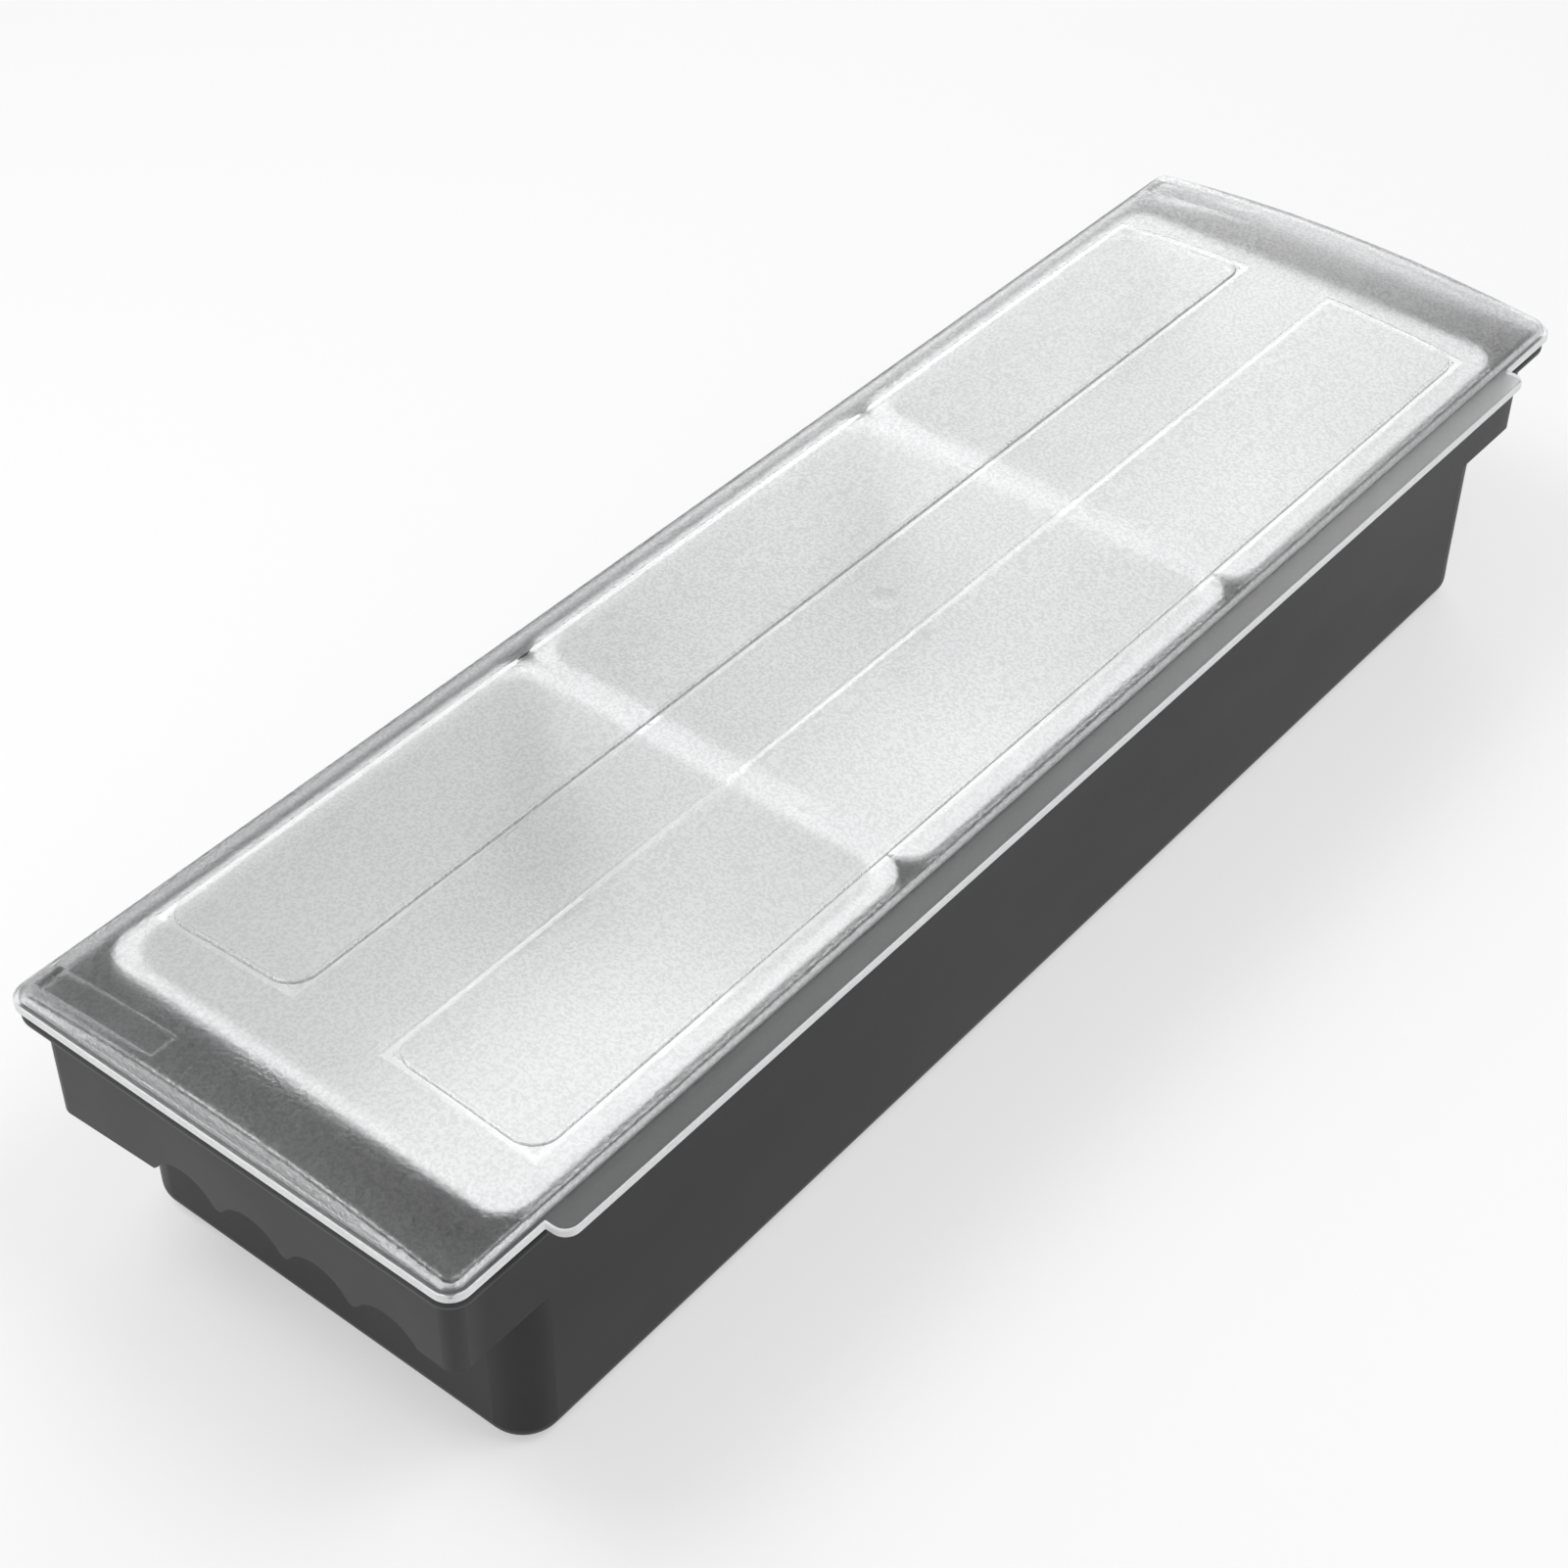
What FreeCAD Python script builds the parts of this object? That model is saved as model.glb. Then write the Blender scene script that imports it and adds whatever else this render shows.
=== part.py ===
import FreeCAD, Part
import math
import os

from FreeCAD import Vector

# Condiment holder: a black tray, a frosted hinged lid and three white food inserts.
# Millimetres, +Z up, +X along the length, -Y towards the user; the origin is the middle of the base.

# Inserts: three equal food cups that hang by their rims; their row gives the tray its length and width
insert_names = ("insert_left", "insert_middle", "insert_right")
insert_rim_length = 149.3
insert_rim_width = 134.4
insert_rim_corner = 9.0
insert_rim_thickness = 1.9
insert_rim_edge_round = 0.6
insert_rim_shelf = 6.0
insert_gap = 0.4
insert_end_bearing = 2.86
insert_side_bearing = 1.71
insert_floor_gap = 10.2
insert_wall = 1.8
insert_corner = 17.0
insert_draft_angle = 3.5
insert_foot_round = 10.0
insert_foot_round_share = 0.9
insert_mouth_round = 1.2

# Tray: trough
trough_corner = 11.0
trough_foot_round = 5.0
tray_wall = 2.6
tray_floor = 3.0
draft_angle = 0.4
deck_height = 84.2
deck_thickness = 3.0

# Tray: ears with a scalloped apron at both ends; depths are below the tops of the finger arcs
ear_reach = 19.8
ear_corner = 4.0
scallop_drop = 26.6
scallop_pitch = 22.4
scallop_overlap = 0.1
scallop_tip_round = 2.0
scallop_front_margin = 10.6
scallop_rear_least = 30.0
apron_rear_depth = 8.9
apron_front_depth = 6.3
first_tip_depth = 6.9
last_tip_depth = 5.4

# Tray: rim that the lid closes on
rim_end_reach = 4.7
rim_side_reach = 5.6
rim_corner = 7.0
rim_thickness = 4.5
rim_edge_share = 0.48

# Hinge: pins moulded in notches of the rear rim, hooks on the lid
hinge_end_inset = 5.3
hinge_inset = 2.2
pin_radius = 1.3
pin_clearance = 0.08
hook_wall = 1.2
hook_width = 8.0
hook_side_gap = 1.0
hook_swing_gap = 0.6
hook_mouth_share = 0.82
arm_reach = 43.0
arm_tip_depth = 1.0

# Lid: lip, crowned dome and front tab
lid_end_overhang = 0.5
lid_side_overhang = 0.55
lid_corner = 5.9
lid_seat_gap = 0.2
lid_wall = 2.0
lip_width = 1.4
lip_thickness = 2.9
lip_edge_round = 0.6
dome_side_height = 5.2
dome_rise = 4.4
dome_shoulder_round = 2.6
dome_inner_round = 0.6
tab_end_margin = 30.0
tab_reach = 6.7
tab_thickness = 2.9
tab_corner = 4.5
tab_edge_round = 0.8

# Lid: raised panels and the dimple that the moulding gate leaves
panel_end_margin = 38.9
panel_side_margin = 10.5
panel_gap = 30.3
panel_corner = 8.0
panel_height = 0.8
panel_edge_round = 0.6
dimple_diameter = 9.0
dimple_depth = 0.4

# One overrun for every cut that passes through a face, and a slack for picking edges by height
overrun = 5.0
pick_slack = 0.001

# Trough round the row of inserts, outside sizes at the table
draft_slope = math.tan(math.radians(draft_angle))
insert_slope = math.tan(math.radians(insert_draft_angle))
insert_pitch = insert_rim_length + insert_gap
insert_row_length = len(insert_names) * insert_pitch - insert_gap
insert_depth = deck_height - tray_floor - insert_floor_gap
mouth_to_foot = 2 * (tray_wall - deck_height * draft_slope)
trough_length = insert_row_length - 2 * insert_end_bearing + mouth_to_foot
trough_width = insert_rim_width - 2 * insert_side_bearing + mouth_to_foot

# Ears and rim round the trough, as many finger arcs as the ear has room for
ear_length = trough_length + 2 * ear_reach
scallop_radius = scallop_pitch / 2 + scallop_overlap
scallop_top = deck_height - scallop_drop
scallop_count = int((trough_width - scallop_front_margin - scallop_rear_least) / scallop_pitch)
scallop_row_rear = scallop_front_margin + scallop_count * scallop_pitch - trough_width / 2
apron_rear_foot = scallop_top - apron_rear_depth
apron_front_foot = scallop_top - apron_front_depth
first_tip_foot = scallop_top - first_tip_depth
last_tip_foot = scallop_top - last_tip_depth
rim_length = ear_length + 2 * rim_end_reach
rim_width = trough_width + 2 * rim_side_reach

# Hinge line at the rear of the rim
hinge_spread = ear_length - 2 * hinge_end_inset
hinge_y = rim_width / 2 - hinge_inset
hinge_z = deck_height - rim_thickness / 2
bore_radius = pin_radius + pin_clearance
hook_radius = bore_radius + hook_wall
hook_front = hinge_y - hook_radius
notch_width = hook_width + 2 * hook_side_gap

# Lid over the rim
lid_length = rim_length + 2 * lid_end_overhang
lid_width = rim_width + 2 * lid_side_overhang
lid_low = deck_height + lid_seat_gap
dome_length = lid_length - 2 * lip_width
dome_width = lid_width - 2 * lip_width
dome_corner = lid_corner - lip_width
dome_top = lid_low + dome_side_height + dome_rise
dome_radius = ((dome_width / 2) ** 2 + dome_rise ** 2) / (2 * dome_rise)
dome_axis_z = dome_top - dome_radius
tab_length = lid_length - 2 * tab_end_margin
panel_length = dome_length - 2 * panel_end_margin
panel_width = (dome_width - panel_gap) / 2 - panel_side_margin
panel_spread = panel_gap + panel_width


def rounded_wire(length, width, corner, z, y=0):
    """Closed rounded rectangle at height z, centred on the line Y = y."""
    diagonal = corner * math.sqrt(0.5)
    edges = []
    last = None
    for sx, sy in ((1, 1), (-1, 1), (-1, -1), (1, -1)):
        centre = Vector(sx * (length / 2 - corner), y + sy * (width / 2 - corner), z)
        ends = [centre + Vector(sx * corner, 0, 0), centre + Vector(0, sy * corner, 0)]
        if sx != sy:
            ends.reverse()
        if last:
            edges.append(Part.LineSegment(last, ends[0]).toShape())
        middle = centre + Vector(sx * diagonal, sy * diagonal, 0)
        edges.append(Part.Arc(ends[0], middle, ends[1]).toShape())
        last = ends[1]
    edges.append(Part.LineSegment(last, edges[0].Vertexes[0].Point).toShape())
    return Part.Wire(edges)


def rounded_plate(length, width, corner, low, high, y=0):
    """Straight rounded plate between two heights."""
    face = Part.Face(rounded_wire(length, width, corner, low, y))
    return face.extrude(Vector(0, 0, high - low))


def drafted_block(length, width, corner, low, high, slope, datum):
    """Rounded block that widens upward; its length, width and corner hold at the datum height."""
    wires = []
    for level in (low, high):
        grow = (level - datum) * slope
        wires.append(rounded_wire(length + 2 * grow, width + 2 * grow, corner + grow, level))
    return Part.makeLoft(wires, True, True)


def edges_within(shape, low, high):
    """Edges that lie whole between two heights."""
    boxes = [(edge, edge.BoundBox) for edge in shape.Edges]
    return [edge for edge, box in boxes if box.ZMin > low - pick_slack and box.ZMax < high + pick_slack]


def round_level(shape, level, radius):
    """Round every edge that lies flat at one height."""
    return shape.makeFillet(radius, edges_within(shape, level, level))


def slab_along_x(edges, length):
    """Extrude a closed outline in the YZ plane to a slab centred on X = 0."""
    face = Part.Face(Part.Wire(edges))
    face.translate(Vector(-length / 2, 0, 0))
    return face.extrude(Vector(length, 0, 0))


def polyline(points):
    """Straight edges through points."""
    return [Part.LineSegment(a, b).toShape() for a, b in zip(points, points[1:])]


# Tray
def finger_scallops():
    """Space under an apron: a slope, a row of finger arcs with rounded tips between, then a slope again."""
    arc_z = scallop_top - scallop_radius
    reach = scallop_radius + scallop_tip_round
    tip_z = arc_z + math.sqrt(reach ** 2 - (scallop_pitch / 2) ** 2)
    touch_share = scallop_radius / reach
    end_drop = math.sqrt(scallop_radius ** 2 - (last_tip_foot - arc_z) ** 2)
    rear = trough_width / 2 - ear_corner
    front = -trough_width / 2 - overrun
    low = apron_rear_foot - overrun

    def touch(arc_y, tip_y):
        """Where a finger arc meets a rounded tip."""
        centre = Vector(0, arc_y, arc_z)
        return centre + (Vector(0, tip_y, tip_z) - centre) * touch_share

    point = Vector(0, scallop_row_rear, first_tip_foot)
    edges = polyline([Vector(0, rear, low), Vector(0, rear, apron_rear_foot), point])
    for index in range(scallop_count):
        tip_y = scallop_row_rear - index * scallop_pitch
        arc_y = tip_y - scallop_pitch / 2
        leave = touch(arc_y, tip_y)
        if index:
            tip_low = Vector(0, tip_y, tip_z - scallop_tip_round)
            edges.append(Part.Arc(point, tip_low, leave).toShape())
        else:
            edges.append(Part.LineSegment(point, leave).toShape())
        if index < scallop_count - 1:
            point = touch(arc_y, tip_y - scallop_pitch)
        else:
            point = Vector(0, arc_y - end_drop, last_tip_foot)
        edges.append(Part.Arc(leave, Vector(0, arc_y, scallop_top), point).toShape())
    edges += polyline([point, Vector(0, front, apron_front_foot), Vector(0, front, low), Vector(0, rear, low)])
    return slab_along_x(edges, ear_length + 2 * overrun)


def make_tray():
    """Trough, ears and rim in one moulding, with two hinge pins."""
    trough = drafted_block(trough_length, trough_width, trough_corner, 0, deck_height, draft_slope, 0)
    trough = round_level(trough, 0, trough_foot_round)
    ears = drafted_block(ear_length, trough_width, ear_corner, apron_rear_foot, deck_height, draft_slope, 0)
    ears = ears.cut(finger_scallops())
    rim_low = deck_height - rim_thickness
    rim = rounded_plate(rim_length, rim_width, rim_corner, rim_low, deck_height)
    rim_edges = edges_within(rim, rim_low, rim_low) + edges_within(rim, deck_height, deck_height)
    rim = rim.makeFillet(rim_thickness * rim_edge_share, rim_edges)

    inner_width = trough_width - 2 * tray_wall
    ear_room = drafted_block(ear_length - 2 * tray_wall, inner_width, ear_corner - tray_wall,
                             apron_rear_foot - overrun, deck_height - deck_thickness, draft_slope, 0)
    ear_room = ear_room.cut(trough)
    inside = drafted_block(trough_length - 2 * tray_wall, inner_width, trough_corner - tray_wall,
                           tray_floor, deck_height + overrun, draft_slope, 0)
    inside = round_level(inside, tray_floor, trough_foot_round - tray_wall)
    body = trough.fuse([ears, rim]).cut([ear_room, inside])

    for side in (-1, 1):
        middle = side * hinge_spread / 2
        notch_front = hook_front - hook_swing_gap
        notch = Part.makeBox(notch_width, rim_width / 2 - notch_front + overrun, rim_thickness + 2 * overrun,
                             Vector(middle - notch_width / 2, notch_front, rim_low - overrun))
        pin_length = notch_width + 2 * pin_radius
        pin = Part.makeCylinder(pin_radius, pin_length, Vector(middle - pin_length / 2, hinge_y, hinge_z),
                                Vector(1, 0, 0))
        body = body.cut(notch).fuse(pin)
    return body.removeSplitter()


# Lid
def crown_slab(grow):
    """Slab as long as the dome under its barrel arc, with the arc's radius changed by grow."""
    radius = dome_radius + grow
    half = dome_width / 2 + overrun
    side_z = dome_axis_z + math.sqrt(radius ** 2 - half ** 2)
    low = lid_low - 2 * overrun
    rear, front = Vector(0, half, side_z), Vector(0, -half, side_z)
    edges = [Part.Arc(rear, Vector(0, 0, dome_axis_z + radius), front).toShape()]
    edges += polyline([front, Vector(0, -half, low), Vector(0, half, low), rear])
    return slab_along_x(edges, dome_length + 2 * overrun)


def domed_block(inset, low, shoulder_round):
    """Filled dome, shrunk by the inset on every side but the open one."""
    block = rounded_plate(dome_length - 2 * inset, dome_width - 2 * inset, dome_corner - inset,
                          low, dome_top + overrun)
    block = block.common(crown_slab(-inset))
    top_edges = edges_within(block, low + 2 * pick_slack, dome_top)
    return block.makeFillet(shoulder_round, top_edges)


def raised_panel(y):
    """Panel that stands a little above the dome and follows its crown."""
    block = rounded_plate(panel_length, panel_width, panel_corner, lid_low, dome_top + overrun, y)
    block = block.common(crown_slab(panel_height))
    return block.makeFillet(panel_edge_round, edges_within(block, lid_low + 2 * pick_slack, dome_top + overrun))


def hinge_arm(x, dome):
    """Rib under the dome that ends in a hook round the tray's pin."""
    tip_y = hinge_y - arm_reach
    rear_y = dome_width / 2
    tip_z = dome_axis_z + math.sqrt((dome_radius - lid_wall) ** 2 - tip_y ** 2) - arm_tip_depth
    outline = [Vector(0, tip_y, dome_top), Vector(0, tip_y, tip_z), Vector(0, hook_front, lid_low),
               Vector(0, rear_y, lid_low), Vector(0, rear_y, dome_top)]
    arm = slab_along_x(polyline(outline + outline[:1]), hook_width).common(dome)
    across = Vector(1, 0, 0)
    start = Vector(-hook_width / 2, hinge_y, hinge_z)
    ring = Part.makeCylinder(hook_radius, hook_width, start, across)
    neck = Part.makeBox(hook_width, hook_radius + pin_radius, lid_low + lip_thickness - hinge_z,
                        Vector(-hook_width / 2, hook_front, hinge_z))
    bore = Part.makeCylinder(bore_radius, hook_width, start, across)
    mouth_width = 2 * bore_radius * hook_mouth_share
    mouth = Part.makeBox(hook_width, mouth_width, hook_radius + overrun,
                         Vector(-hook_width / 2, hinge_y - mouth_width / 2, hinge_z - hook_radius - overrun))
    hook = ring.fuse(neck).cut([bore, mouth])
    arm = arm.fuse(hook)
    arm.translate(Vector(x, 0, 0))
    return arm


def make_lid():
    """Crowned dome on a flat lip, with a front tab, two raised panels and two hinge arms."""
    dome = domed_block(0, lid_low, dome_shoulder_round)
    lip_top = lid_low + lip_thickness
    lip = rounded_plate(lid_length, lid_width, lid_corner, lid_low, lip_top)
    lip = lip.makeFillet(lip_edge_round, edges_within(lip, lid_low, lid_low) + edges_within(lip, lip_top, lip_top))
    tab_span = tab_reach + lip_width + lid_wall + tab_corner
    tab_y = -lid_width / 2 - tab_reach + tab_span / 2
    tab_top = lid_low + tab_thickness
    tab = rounded_plate(tab_length, tab_span, tab_corner, lid_low, tab_top, tab_y)
    tab = tab.makeFillet(tab_edge_round, edges_within(tab, lid_low, lid_low) + edges_within(tab, tab_top, tab_top))
    panels = [raised_panel(side * panel_spread / 2) for side in (-1, 1)]
    room = domed_block(lid_wall, lid_low - overrun, dome_inner_round)
    dimple_radius = ((dimple_diameter / 2) ** 2 + dimple_depth ** 2) / (2 * dimple_depth)
    dimple = Part.makeSphere(dimple_radius, Vector(0, 0, dome_top - dimple_depth + dimple_radius))
    lid = dome.fuse([lip, tab] + panels).cut([room, dimple])
    arms = [hinge_arm(side * hinge_spread / 2, dome) for side in (-1, 1)]
    return lid.fuse(arms).removeSplitter()


# Inserts
def make_insert(x):
    """Tapered cup with rounded corners, hanging by a flat rim."""
    rim_top = deck_height + insert_rim_thickness
    rim = rounded_plate(insert_rim_length, insert_rim_width, insert_rim_corner, deck_height, rim_top)
    rim = round_level(rim, rim_top, insert_rim_edge_round)
    cup_length = insert_rim_length - 2 * insert_rim_shelf
    cup_width = insert_rim_width - 2 * insert_rim_shelf
    foot = deck_height - insert_depth
    cup = drafted_block(cup_length, cup_width, insert_corner, foot, rim_top, insert_slope, deck_height)
    foot_corner = insert_corner - insert_depth * insert_slope
    foot_round = min(insert_foot_round, foot_corner * insert_foot_round_share)
    cup = round_level(cup, foot, foot_round)
    room = drafted_block(cup_length - 2 * insert_wall, cup_width - 2 * insert_wall, insert_corner - insert_wall,
                         foot + insert_wall, rim_top + overrun, insert_slope, deck_height)
    room = round_level(room, foot + insert_wall, foot_round - insert_wall)
    insert = rim.fuse(cup).cut(room).removeSplitter()
    mouth = [edge for edge in edges_within(insert, rim_top, rim_top)
             if edge.BoundBox.XMax < cup_length / 2 and edge.BoundBox.XMin > -cup_length / 2]
    insert = insert.makeFillet(insert_mouth_round, mouth)
    insert.translate(Vector(x, 0, 0))
    return insert


def make_parts():
    """Every piece by its node name."""
    parts = {"tray": make_tray(), "lid": make_lid()}
    for index, name in enumerate(insert_names):
        parts[name] = make_insert((index - (len(insert_names) - 1) / 2) * insert_pitch)
    return parts


os.makedirs("parts", exist_ok=True)
for name, shape in make_parts().items():
    solids = shape.Solids
    print(name, "solids", len(solids), "valid", shape.isValid(), "volume", round(shape.Volume))
    shape.exportStep("parts/" + name + ".step")
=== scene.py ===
# %% [markdown]
# # A condiment holder in Blender
# The object is a long bar caddy: a black tray, three white food inserts that hang in it, and a clear
# lid with a pebbled grain, hinged along the rear. Most shapes come ready measured from the packed
# model, in metres, with the table at Z = 0, so this lesson is mainly about looking: where the camera
# stands, how the light falls, and what makes three plain plastics look like three different plastics.

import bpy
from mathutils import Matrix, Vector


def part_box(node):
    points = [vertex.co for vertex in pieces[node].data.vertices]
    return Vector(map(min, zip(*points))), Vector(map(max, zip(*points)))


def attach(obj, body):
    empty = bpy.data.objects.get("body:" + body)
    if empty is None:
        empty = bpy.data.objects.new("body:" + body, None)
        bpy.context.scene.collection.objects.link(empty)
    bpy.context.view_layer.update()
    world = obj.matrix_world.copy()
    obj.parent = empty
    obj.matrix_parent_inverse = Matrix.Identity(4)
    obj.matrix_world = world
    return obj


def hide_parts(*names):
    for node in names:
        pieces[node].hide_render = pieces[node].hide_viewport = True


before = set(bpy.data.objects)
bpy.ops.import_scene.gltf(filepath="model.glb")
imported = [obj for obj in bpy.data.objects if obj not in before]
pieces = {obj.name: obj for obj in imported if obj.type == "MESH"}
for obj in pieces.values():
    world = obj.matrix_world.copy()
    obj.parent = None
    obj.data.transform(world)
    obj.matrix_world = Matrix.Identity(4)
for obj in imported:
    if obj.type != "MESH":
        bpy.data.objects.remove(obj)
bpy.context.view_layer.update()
print("pieces:", sorted(pieces))

# %% Tools used below
import math

import bpy
from mathutils import Quaternion, Vector

scene = bpy.context.scene
scene.view_settings.view_transform = "Standard"
MM = 0.001
print("one millimetre is", MM, "of Blender's units")

# %% [markdown]
# ## Camera
# The photograph looks down on one end of the holder with a short telephoto lens. A camera could be
# placed by eye and nudged, but its place, its direction and its focal length were worked out from the
# straight outlines of the tray and the lid, so they are simply written here. A small roll puts the
# horizon where the photographer had it.

# %% Camera at the photograph's place
camera_place = Vector((-0.528417, -0.387566, 0.604673))
camera_ahead = Vector((0.58565, 0.46720, -0.66237))
camera_roll = math.radians(0.526)
focal_length_mm = 69.542
sensor_width_mm = 36

lens = bpy.data.cameras.new("photo_camera")
lens.sensor_fit = "HORIZONTAL"
lens.sensor_width = sensor_width_mm
lens.lens = focal_length_mm
camera = bpy.data.objects.new("photo_camera", lens)
scene.collection.objects.link(camera)
camera.location = camera_place
level = camera_ahead.to_track_quat("-Z", "Y")
camera.rotation_euler = (level @ Quaternion((0, 0, 1), camera_roll)).to_euler()
scene.camera = camera
print("camera is", round(camera_place.length, 3), "m from the middle of the tray's foot")

# %% [markdown]
# ## Small helpers for node trees
# Every material below is a handful of nodes. The first helper makes one node, sets its options, and
# either fills a socket with a number or joins it to the output of another node, so that a material
# reads from top to bottom as a recipe. The others are the three nodes that come up most: arithmetic, a
# change of range, and a blend of colours.

# %% Node helper
def add(tree, kind, sockets=None, **options):
    """New node with its options set, its sockets filled with numbers or joined to other outputs."""
    node = tree.nodes.new(kind)
    for name, value in options.items():
        setattr(node, name, value)
    for name, value in (sockets or {}).items():
        if isinstance(value, bpy.types.NodeSocket):
            tree.links.new(value, node.inputs[name])
        else:
            node.inputs[name].default_value = value
    return node


def fresh_material(name):
    """Empty node material and its output node."""
    material = bpy.data.materials.new(name)
    material.use_nodes = True
    material.node_tree.nodes.clear()
    return material, add(material.node_tree, "ShaderNodeOutputMaterial")


# %% Arithmetic, ranges and blends
def calc(tree, operation, first, second=0.0, **options):
    """Output of one arithmetic node."""
    return add(tree, "ShaderNodeMath", {0: first, 1: second}, operation=operation, **options).outputs[0]


def remap(tree, value, start, end, low=0.0, high=1.0, curve="LINEAR"):
    """Value whose range from start to end becomes low to high."""
    sockets = {"Value": value, "From Min": start, "From Max": end, "To Min": low, "To Max": high}
    return add(tree, "ShaderNodeMapRange", sockets, interpolation_type=curve).outputs[0]


def blend_colours(tree, factor, first, second):
    """Colour that goes from the first to the second as the factor goes from 0 to 1."""
    sockets = {"Factor": factor, "A": first, "B": second}
    return add(tree, "ShaderNodeMix", sockets, data_type="RGBA").outputs["Result"]


# %% [markdown]
# ## Floor and sky
# The photograph has a pure white ground. More light would only burn out the white inserts, so half of
# that white comes from the floor itself: a ray that comes straight from the camera, or by way of gloss
# or clear plastic, sees the paper partly as it is lit and partly as plain white. The lit part keeps the
# holder's soft shadow. The floor is large, so that its edge lies at the horizon when it is seen from
# low down. The sky is one even pale grey that fills the shadows; from the photograph's place the camera
# looks down and does not see it.

# %% Floor
floor_half = 30.0
floor_drop = 0.2 * MM

floor_mesh = bpy.data.meshes.new("studio_floor")
floor_corners = [(-floor_half, -floor_half, 0), (floor_half, -floor_half, 0),
                 (floor_half, floor_half, 0), (-floor_half, floor_half, 0)]
floor_mesh.from_pydata(floor_corners, [], [(0, 1, 2, 3)])
floor = bpy.data.objects.new("studio_floor", floor_mesh)
floor.location.z = -floor_drop
scene.collection.objects.link(floor)
print("floor is", 2 * floor_half, "m wide")

# %% White paper on the floor
floor_white = 0.5
paper_white = (0.95, 0.95, 0.95, 1)
plain_white = (1, 1, 1, 1)

paper, out = fresh_material("studio_paper")
tree = paper.node_tree
path = add(tree, "ShaderNodeLightPath")
direct_or_gloss = calc(tree, "ADD", path.outputs["Is Camera Ray"], path.outputs["Is Glossy Ray"])
seen = calc(tree, "ADD", direct_or_gloss, path.outputs["Is Transmission Ray"], use_clamp=True)
share = calc(tree, "MULTIPLY", seen, floor_white)
matt = add(tree, "ShaderNodeBsdfDiffuse", {"Color": paper_white})
glow = add(tree, "ShaderNodeEmission", {"Color": plain_white, "Strength": 1.0})
ground = add(tree, "ShaderNodeMixShader", {0: share, 1: matt.outputs[0], 2: glow.outputs[0]})
tree.links.new(ground.outputs[0], out.inputs["Surface"])
floor_mesh.materials.append(paper)
print("share of plain white in the paper:", floor_white)

# %% Sky
sky_light = 0.4

world = bpy.data.worlds.new("studio_sky")
scene.world = world
world.use_nodes = True
background = world.node_tree.nodes["Background"]
background.inputs["Color"].default_value = plain_white
background.inputs["Strength"].default_value = sky_light
print("sky lights at", sky_light)

# %% [markdown]
# ## Lamps
# Large softboxes suit plastic: their edges melt into the satin tray. One strong lamp would burn out the
# white inserts, or mirror itself in the lid, so three modest ones share the work. The rear one stands
# behind, beyond the near end, and draws the grain and the edge of that end. The top one, in front,
# leaves the shade under the ears that makes their finger arcs readable. The far one is low beyond the
# far end, so that the pebbles of the lid catch more and more of it along the length.

# %% Softboxes
def softbox(name, place, target, size, watts):
    """Rectangular lamp that faces a target."""
    lamp = bpy.data.lights.new(name, "AREA")
    lamp.shape = "RECTANGLE"
    lamp.size = size[0]
    lamp.size_y = size[1]
    lamp.energy = watts
    box = bpy.data.objects.new(name, lamp)
    box.location = place
    box.rotation_euler = (Vector(target) - Vector(place)).to_track_quat("-Z", "Y").to_euler()
    scene.collection.objects.link(box)
    print(name, watts, "W")


softbox("rear_softbox", place=(-0.5, 0.55, 1.15), target=(-0.1, 0, 0.06), size=(0.6, 0.5), watts=7)
softbox("top_softbox", place=(0.15, -0.5, 1.15), target=(0, 0, 0.06), size=(0.6, 0.5), watts=4.5)
softbox("far_softbox", place=(1.3, 0.75, 0.8), target=(0, 0, 0.08), size=(1.1, 0.8), watts=5.5)

# %% [markdown]
# ## Effects that the plastics share
# All the pieces are injection moulded, so they share two effects. The first is the grain that the mould
# leaves, from a fine spark texture to the coarse pebbles of the lid. The second is a slow drift in tone
# and gloss, from the way that the melt flows and from handling. Each is one node group that a material
# places with its own values. Object coordinates are in metres, so a size in millimetres turns into a
# texture scale by one division.

# %% Group: mould grain
MM_PER_METRE = 1000.0
fine_ratio = 2.7


def group_socket(group, name, way, value=None):
    """Named number that goes into a group or comes out of it."""
    socket = group.interface.new_socket(name=name, in_out=way, socket_type="NodeSocketFloat")
    if value is not None:
        socket.default_value = value


def make_mould_grain():
    """Height of a pebbled mould texture: rounded bumps with a finer roughness on them."""
    group = bpy.data.node_groups.new("mould_grain", "ShaderNodeTree")
    group_socket(group, "Pebble mm", "INPUT", value=0.7)
    group_socket(group, "Fine share", "INPUT", value=0.3)
    group_socket(group, "Height", "OUTPUT")
    ins = add(group, "NodeGroupInput")
    outs = add(group, "NodeGroupOutput")
    place = add(group, "ShaderNodeTexCoord").outputs["Object"]
    scale = calc(group, "DIVIDE", MM_PER_METRE, ins.outputs["Pebble mm"])
    pebble = add(group, "ShaderNodeTexNoise", {"Vector": place, "Scale": scale, "Detail": 1.0,
                                               "Roughness": 0.4, "Distortion": 0.6})
    fine_scale = calc(group, "MULTIPLY", scale, fine_ratio)
    fine = add(group, "ShaderNodeTexNoise", {"Vector": place, "Scale": fine_scale, "Detail": 1.0})
    both = add(group, "ShaderNodeMix", {"Factor": ins.outputs["Fine share"], "A": pebble.outputs["Fac"],
                                        "B": fine.outputs["Fac"]}, data_type="FLOAT")
    group.links.new(both.outputs["Result"], outs.inputs["Height"])
    return group


mould_grain = make_mould_grain()
print("group:", mould_grain.name)

# %% Group: flow drift
flow_stretch = (0.35, 1.0, 1.0)
blotch_low = 0.3
blotch_high = 0.7


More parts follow.
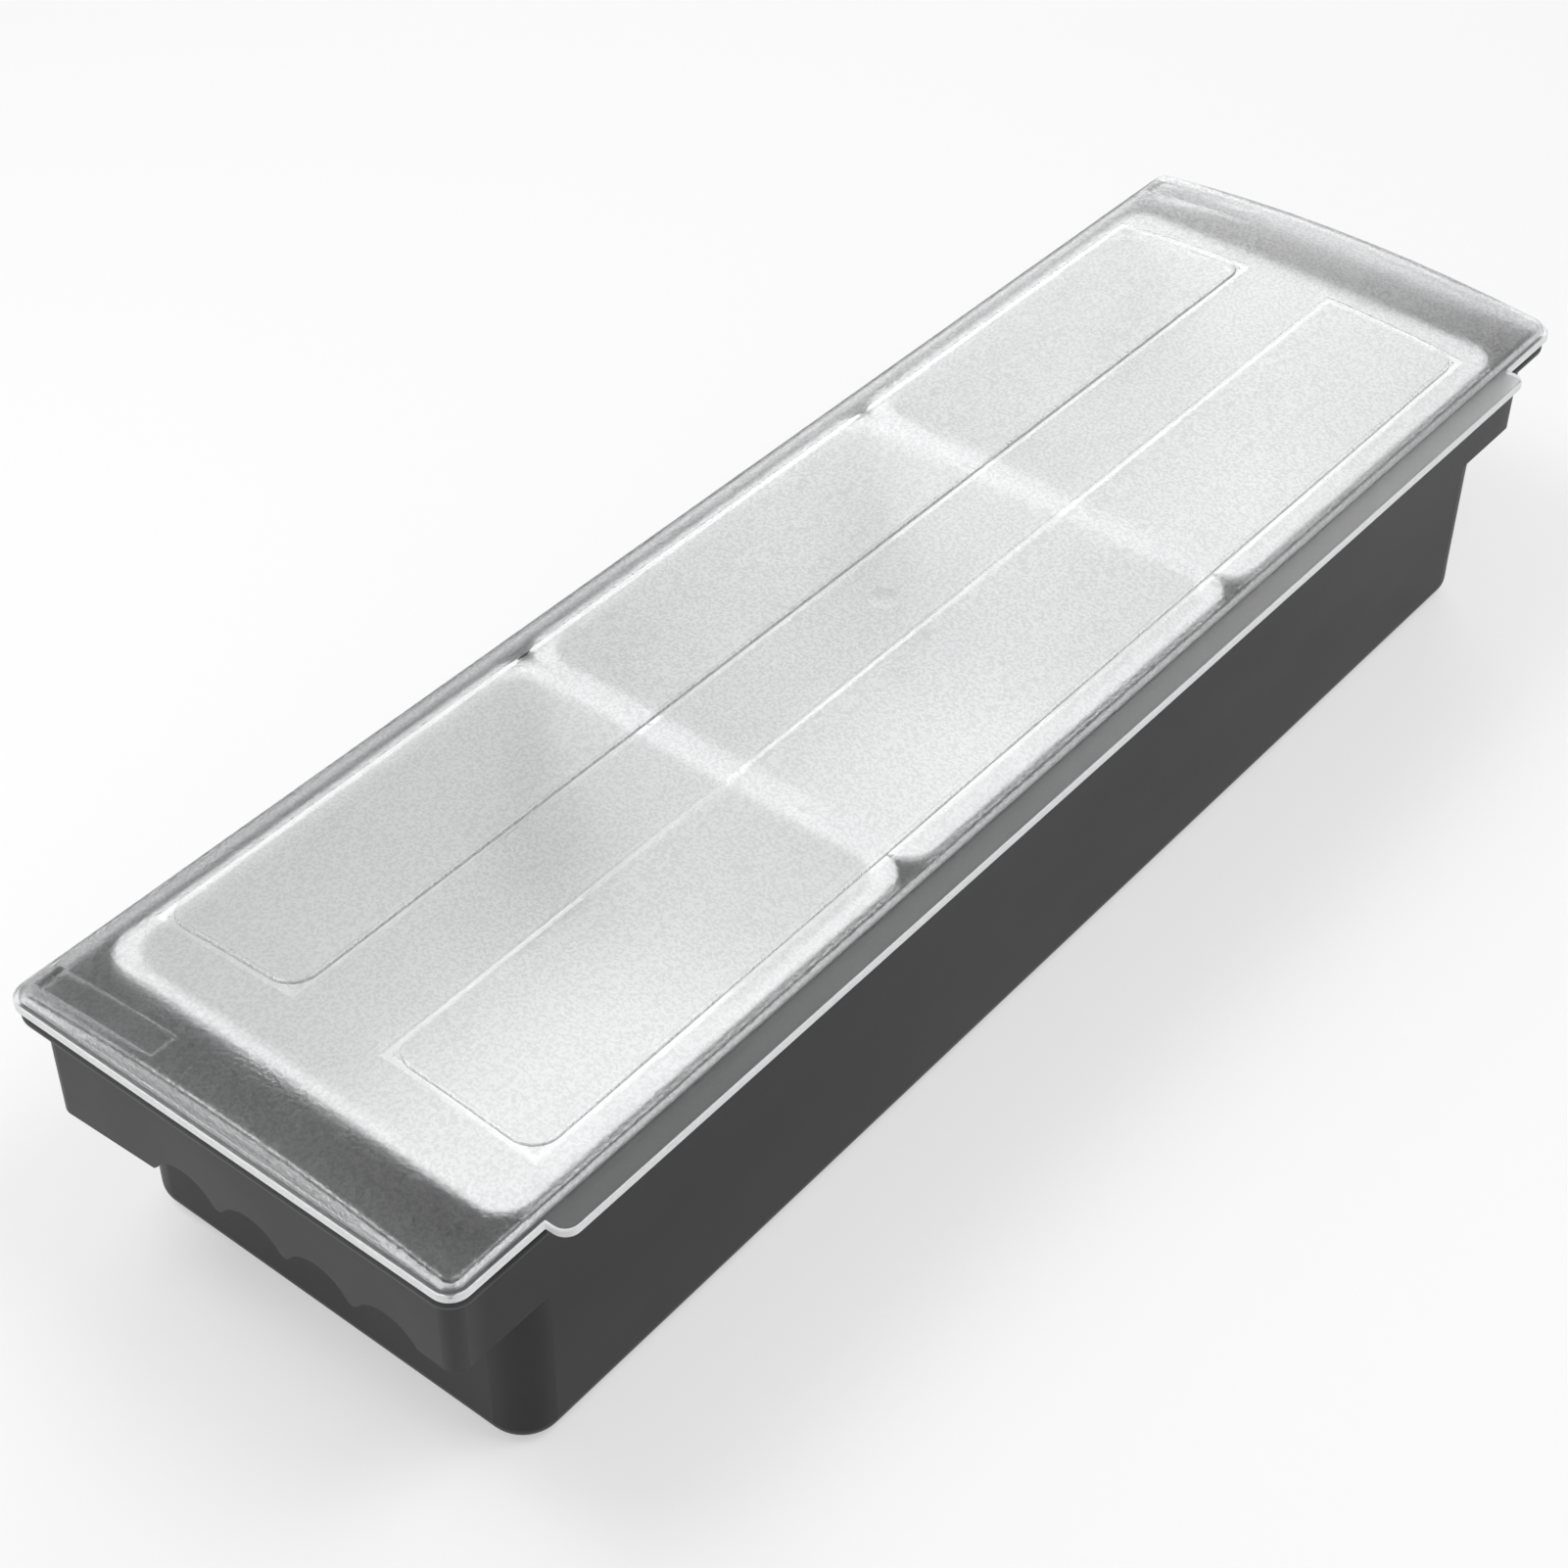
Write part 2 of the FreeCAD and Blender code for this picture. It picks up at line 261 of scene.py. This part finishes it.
def make_flow_drift():
    """Slow blotches and long streaks along the length, 0 to 1, for tone and gloss."""
    group = bpy.data.node_groups.new("flow_drift", "ShaderNodeTree")
    group_socket(group, "Blotch mm", "INPUT", value=40.0)
    group_socket(group, "Drift", "OUTPUT")
    ins = add(group, "NodeGroupInput")
    outs = add(group, "NodeGroupOutput")
    place = add(group, "ShaderNodeTexCoord").outputs["Object"]
    scale = calc(group, "DIVIDE", MM_PER_METRE, ins.outputs["Blotch mm"])
    stretch = add(group, "ShaderNodeMapping", {"Vector": place, "Scale": flow_stretch})
    blotch = add(group, "ShaderNodeTexNoise", {"Vector": stretch.outputs[0], "Scale": scale,
                                               "Detail": 4.0, "Roughness": 0.6})
    spread = remap(group, blotch.outputs["Fac"], blotch_low, blotch_high)
    group.links.new(spread, outs.inputs["Drift"])
    return group


flow_drift = make_flow_drift()
print("group:", flow_drift.name)

# %% Place a group in a material
def place_group(tree, group, **values):
    """Output of a group whose inputs are set by name (an underscore stands for a space)."""
    node = add(tree, "ShaderNodeGroup", node_tree=group)
    for name, value in values.items():
        node.inputs[name.replace("_", " ")].default_value = value
    return node.outputs[0]


def object_axes(tree):
    """The object's own X, Y and Z at a point of its surface, in metres."""
    place = add(tree, "ShaderNodeTexCoord")
    return add(tree, "ShaderNodeSeparateXYZ", {0: place.outputs["Object"]})


# %% [markdown]
# ## Black tray
# The tray is a satin black plastic: dark, but not a hole. Its base colour is a very dark grey, its
# gloss is broad, and the grain is a fine spark texture that only just breaks up the highlights. The
# drift makes the gloss a little uneven. The ears are painted a shade greyer: painted light for the light
# on their outer faces against the shade on the wall under them, so that their finger arcs stand out from
# the wall behind. Painting that by hand would need a texture; here the distance from the middle of the
# length is enough, because only the ears reach out so far.

# %% Tray material
plastic_ior = 1.49
fine_grain_depth = 0.05 * MM
painted_light_start = 232.0 * MM
painted_light_full = 240.0 * MM
black_dark = (0.013, 0.013, 0.0135, 1)
black_pale = (0.019, 0.019, 0.0195, 1)
painted_light_black = (0.042, 0.042, 0.043, 1)

satin_black, out = fresh_material("satin_black_plastic")
tree = satin_black.node_tree
drift = place_group(tree, flow_drift, Blotch_mm=60.0)
black = blend_colours(tree, drift, black_dark, black_pale)
# Painted light: the ears are painted greyer than the trough, for the light on them against the shade under
# them.
from_middle = calc(tree, "ABSOLUTE", object_axes(tree).outputs["X"])
painted_light = remap(tree, from_middle, painted_light_start, painted_light_full, curve="SMOOTHSTEP")
tone = blend_colours(tree, painted_light, black, painted_light_black)
gloss = remap(tree, drift, 0.0, 1.0, low=0.36, high=0.46)
grain = place_group(tree, mould_grain, Pebble_mm=0.35, Fine_share=0.4)
bump = add(tree, "ShaderNodeBump", {"Height": grain, "Strength": 0.25, "Distance": fine_grain_depth})
shader = add(tree, "ShaderNodeBsdfPrincipled", {"Base Color": tone, "Roughness": gloss, "IOR": plastic_ior,
                                                "Specular IOR Level": 0.27, "Normal": bump.outputs[0]})
tree.links.new(shader.outputs[0], out.inputs["Surface"])

# %% Give the tray its plastic
def dress(node, *finishes):
    """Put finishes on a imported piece, in place of what it came with."""
    mesh = pieces[node].data
    mesh.materials.clear()
    for finish in finishes:
        mesh.materials.append(finish)
    print(node, "->", [finish.name for finish in finishes])


dress("tray", satin_black)

# %% [markdown]
# ## White inserts
# The inserts are a smooth, slightly warm white food plastic. One flat white would do from afar, but
# close up it looks like paper, so the two effects are used again at a lower strength. White shows shape
# by its shadows, so the drift is faint, and the grain is nearly polished.

# %% Insert material
white_dark = (0.84, 0.84, 0.835, 1)
white_pale = (0.88, 0.88, 0.875, 1)

food_white, out = fresh_material("white_food_plastic")
tree = food_white.node_tree
drift = place_group(tree, flow_drift, Blotch_mm=50.0)
tone = blend_colours(tree, drift, white_dark, white_pale)
gloss = remap(tree, drift, 0.0, 1.0, low=0.28, high=0.38)
grain = place_group(tree, mould_grain, Pebble_mm=0.5, Fine_share=0.3)
bump = add(tree, "ShaderNodeBump", {"Height": grain, "Strength": 0.12, "Distance": fine_grain_depth})
shader = add(tree, "ShaderNodeBsdfPrincipled", {"Base Color": tone, "Roughness": gloss, "IOR": plastic_ior,
                                                "Normal": bump.outputs[0]})
tree.links.new(shader.outputs[0], out.inputs["Surface"])
print("material:", food_white.name)

# %% [markdown]
# ## Insert shells
# In the photograph each insert has a narrow rim, about 4 to 5 mm from its edge to its inner wall, and
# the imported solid's rim is wider than that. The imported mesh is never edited, so each insert is made
# again here, in the same place and with the same outside, and stands for the solid. A cup like this
# could be a cube with bevels, but a stack of rounded rectangles gives every radius by name: the list
# runs from the foot up the outside, over the rim and down the inside.

# %% One rounded rectangle
CORNER_STEPS = 10


def rounded_ring(length, width, corner, z):
    """Points of a rounded rectangle at one height, anticlockwise from above."""
    points = []
    for quarter, (sx, sy) in enumerate(((1, 1), (-1, 1), (-1, -1), (1, -1))):
        for step in range(CORNER_STEPS + 1):
            angle = math.radians(90 * (quarter + step / CORNER_STEPS))
            points.append((sx * (length / 2 - corner) + corner * math.cos(angle),
                           sy * (width / 2 - corner) + corner * math.sin(angle), z))
    return points


# %% Sizes of an insert
insert_shelf = 3.3 * MM
insert_wall = 1.5 * MM
insert_corner = 11.5 * MM
rim_corner = 9.0 * MM
rim_thickness = 1.9 * MM
rim_round = 0.6 * MM
mouth_round = 1.2 * MM
foot_round = 6.5 * MM
insert_slope = math.tan(math.radians(3.5))

insert_low, insert_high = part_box("insert_middle")
insert_size = insert_high - insert_low
deck = insert_high.z - rim_thickness
print("insert outside, mm:", [round(side / MM, 1) for side in insert_size])

# %% Rings on the walls and on the rim
ROUND_STEPS = 5


def quarter_round(radius):
    """Steps of a rounded edge: how far it has come along its first and its second direction."""
    turns = [math.radians(90 * step / ROUND_STEPS) for step in range(ROUND_STEPS + 1)]
    return [(radius * math.sin(turn), radius * (1 - math.cos(turn))) for turn in turns]


def wall_ring(inset, z):
    """Ring on a drafted wall, set in from the outside of the cup."""
    shrink = 2 * (insert_shelf + inset + (deck - z) * insert_slope)
    corner = insert_corner - inset - (deck - z) * insert_slope
    return rounded_ring(insert_size.x - shrink, insert_size.y - shrink, corner, z)


def rim_ring(inset, z):
    """Ring on the rim, set in from its edge."""
    return rounded_ring(insert_size.x - 2 * inset, insert_size.y - 2 * inset, rim_corner - inset, z)


# %% Rings from the foot to the inside floor
def insert_rings():
    """Every ring in order."""
    foot = insert_low.z
    top = insert_high.z
    floor_top = foot + insert_wall
    inner_round = foot_round - insert_wall
    mouth_inset = insert_wall - mouth_round
    rings = [wall_ring(foot_round - across, foot + up) for across, up in quarter_round(foot_round)]
    rings += [wall_ring(0, deck), rim_ring(0, deck)]
    rings += [rim_ring(across, top - rim_round + up) for up, across in quarter_round(rim_round)]
    rings += [wall_ring(mouth_inset + across, top - down) for across, down in quarter_round(mouth_round)]
    rings += [wall_ring(insert_wall + across, floor_top + inner_round - down)
              for down, across in quarter_round(inner_round)]
    return rings


print("rings of an insert:", len(insert_rings()))

# %% Mesh of an insert
sharp_from = math.radians(35)


def insert_mesh(name):
    """Closed shell: quads between neighbouring rings, and one face to close each end."""
    rings = insert_rings()
    around = len(rings[0])
    points = [point for ring in rings for point in ring]
    faces = [tuple(reversed(range(around)))]
    for row in range(len(rings) - 1):
        low = row * around
        high = low + around
        for here in range(around):
            after = (here + 1) % around
            faces.append((low + here, low + after, high + after, high + here))
    faces.append(tuple(range((len(rings) - 1) * around, len(rings) * around)))
    mesh = bpy.data.meshes.new(name)
    mesh.from_pydata(points, [], faces)
    mesh.shade_smooth()
    mesh.set_sharp_from_angle(angle=sharp_from)
    return mesh


# %% Three inserts in their places
for node in ("insert_left", "insert_middle", "insert_right"):
    dress(node, food_white)
    node_low, node_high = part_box(node)
    shell = bpy.data.objects.new(node + "_shell", insert_mesh(node + "_shell"))
    shell.location.x = (node_low.x + node_high.x) / 2
    scene.collection.objects.link(shell)
    shell.data.materials.append(food_white)
    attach(shell, node)
    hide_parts(node)
    print(shell.name, "faces:", len(shell.data.polygons))

# %% [markdown]
# ## Clear pebbled lid
# The lid is not milky. It is clear plastic whose dome has a pebbled grain, so what lies close under it
# stays fairly sharp and what lies deep blurs away. A white haze over plain glass would blur nothing, so
# this is a transmissive shader with a moderate roughness and a real bump, strong on the dome and nearly
# gone on the lip. A denoised render smooths fine bump away, so the grain shows in two more ways: the
# valleys between the pebbles are painted a little darker, a painted shade, and their tops have a coat that
# glints.

# %% [markdown]
# ### Polished lines
# A narrow line along the edge of each raised panel is polished, which gives it a clean highlight. It
# could be a strip of faces with its own material, but the imported mesh is not edited, so it is drawn
# with a little arithmetic on the object's own coordinates. The two panels mirror each other, so
# distances from the middle of the lid are enough.

# %% Polished lines
panel_half_length = 208.2 * MM
panel_half_width = 23.3 * MM
panel_middle = 38.45 * MM
line_half = 0.5 * MM
line_fade = 1.5 * MM


def polished_lines(tree, axes):
    """0 on the polished lines, 1 where the grain is."""
    far_x = calc(tree, "ABSOLUTE", axes.outputs["X"])
    far_y = calc(tree, "ABSOLUTE", axes.outputs["Y"])
    past_end = calc(tree, "SUBTRACT", far_x, panel_half_length)
    off_middle = calc(tree, "ABSOLUTE", calc(tree, "SUBTRACT", far_y, panel_middle))
    past_side = calc(tree, "SUBTRACT", off_middle, panel_half_width)
    to_edge = calc(tree, "ABSOLUTE", calc(tree, "MAXIMUM", past_end, past_side))
    return remap(tree, to_edge, line_half, line_fade, curve="SMOOTHSTEP")


print("a polished line is", round(2 * line_half / MM, 1), "mm wide, with soft sides")

# %% Where the grain shows
lip_top = 87.3 * MM
grain_start = lip_top - 0.1 * MM
grain_full = lip_top + 0.8 * MM
lip_grain = 0.15


def grain_share(tree, axes, polish):
    """1 on the dome, little on the lip and 0 on the polished lines."""
    fade = remap(tree, axes.outputs["Z"], grain_start, grain_full, low=lip_grain, curve="SMOOTHSTEP")
    return calc(tree, "MULTIPLY", fade, polish)


print("the grain fades in over", round((grain_full - grain_start) / MM, 1), "mm of height")

# %% [markdown]
# ### One recipe, three finishes
# The front tab came from a blasted part of the mould and is a little hazy. The cut edges of the lip
# and the tab are made nearly opaque and near white: a painted highlight for the light that the clear
# edges catch and pass on. Transmission is one number for a whole material, so these are three materials
# made by one recipe. Lamps light the inserts through the lid. Refracted light is slow to render clean,
# so a shadow ray passes straight through and is only dimmed a little.

# %% Recipe for the lid's plastic
lid_cool = (0.94, 0.95, 0.96)
lid_pale = (0.98, 0.985, 0.99)
valley_level = 0.42
top_level = 0.58
# valley_shade and the grey after it paint shade into the valleys of the grain.
valley_shade = 0.3
painted_valley_shade_grey = (0.2, 0.2, 0.2, 1)
glint_roughness = 0.28
lid_shadow = (0.85, 0.85, 0.85, 1)


def lid_plastic(name, clearness, gloss_low, gloss_high, pebble_depth, tint):
    """Clear plastic of a given clearness, with the pebbled grain fading in above the lip."""
    material, out = fresh_material(name)
    tree = material.node_tree
    axes = object_axes(tree)
    drift = place_group(tree, flow_drift, Blotch_mm=35.0)
    cool = tuple(part * tint for part in lid_cool) + (1,)
    pale = tuple(part * tint for part in lid_pale) + (1,)
    tone = blend_colours(tree, drift, cool, pale)
    polish = polished_lines(tree, axes)
    gloss = calc(tree, "MULTIPLY", remap(tree, drift, 0.0, 1.0, gloss_low, gloss_high), polish)
    grain = place_group(tree, mould_grain, Pebble_mm=1.0, Fine_share=0.15)
    shown = grain_share(tree, axes, polish)
    height = calc(tree, "MULTIPLY", grain, shown)
    bump = add(tree, "ShaderNodeBump", {"Height": height, "Strength": 1.0, "Distance": pebble_depth})
    tops = remap(tree, grain, valley_level, top_level)
    glint = calc(tree, "MULTIPLY", tops, shown)
    # Painted shade: the base colour is darker in the valleys between the pebbles.
    painted_valley_shade = calc(tree, "MULTIPLY", calc(tree, "SUBTRACT", 1.0, tops), shown)
    shade = blend_colours(tree, calc(tree, "MULTIPLY", painted_valley_shade, valley_shade), tone, painted_valley_shade_grey)
    shader = add(tree, "ShaderNodeBsdfPrincipled", {"Base Color": shade, "Roughness": gloss,
                                                    "IOR": plastic_ior, "Transmission Weight": clearness,
                                                    "Coat Weight": glint, "Coat Roughness": glint_roughness,
                                                    "Normal": bump.outputs[0]})
    path = add(tree, "ShaderNodeLightPath")
    through = add(tree, "ShaderNodeBsdfTransparent", {"Color": lid_shadow})
    surface = add(tree, "ShaderNodeMixShader", {0: path.outputs["Is Shadow Ray"], 1: shader.outputs[0],
                                                2: through.outputs[0]})
    tree.links.new(surface.outputs[0], out.inputs["Surface"])
    return material


# %% Three finishes of the lid
pebbled_dome = lid_plastic("pebbled_dome", clearness=1.0, gloss_low=0.28, gloss_high=0.31,
                           pebble_depth=0.18 * MM, tint=1.0)
hazy_tab = lid_plastic("hazy_tab", clearness=0.95, gloss_low=0.30, gloss_high=0.36,
                       pebble_depth=0.10 * MM, tint=0.85)
# Painted highlight: the edges are nearly opaque pale plastic that stands for the light they catch.
painted_bright_edge = lid_plastic("painted_bright_edge", clearness=0.15, gloss_low=0.30, gloss_high=0.38,
                          pebble_depth=0.10 * MM, tint=1.0)
dress("lid", pebbled_dome, hazy_tab, painted_bright_edge)

# %% [markdown]
# ### Which face gets which finish
# Faces could be picked by hand, but a rule still holds when the model is packed again. It goes by where
# a face is and which way it points: below the top of the lip and outside the dome, a level face in
# front is the tab, and a steep or rounded one is an edge. The hinge hooks hang lower than the lip and
# stay clear.

# %% Faces of the lid
DOME = 0
TAB = 1
EDGE = 2
lip_start_x = 247.2 * MM
lip_start_y = 72.4 * MM
lip_limit = lip_top + 0.1 * MM
hook_top = 84.5 * MM
tab_start = -73.7 * MM
level_from = 0.92

lid_mesh = pieces["lid"].data
count = [0, 0, 0]
for face in lid_mesh.polygons:
    middle = face.center
    outside_dome = abs(middle.x) > lip_start_x or abs(middle.y) > lip_start_y
    kind = DOME
    if outside_dome and hook_top < middle.z < lip_limit:
        if abs(face.normal.z) < level_from:
            kind = EDGE
        elif middle.y < tab_start:
            kind = TAB
    face.material_index = kind
    count[kind] += 1
print("lid faces: dome", count[DOME], "tab", count[TAB], "edge", count[EDGE])
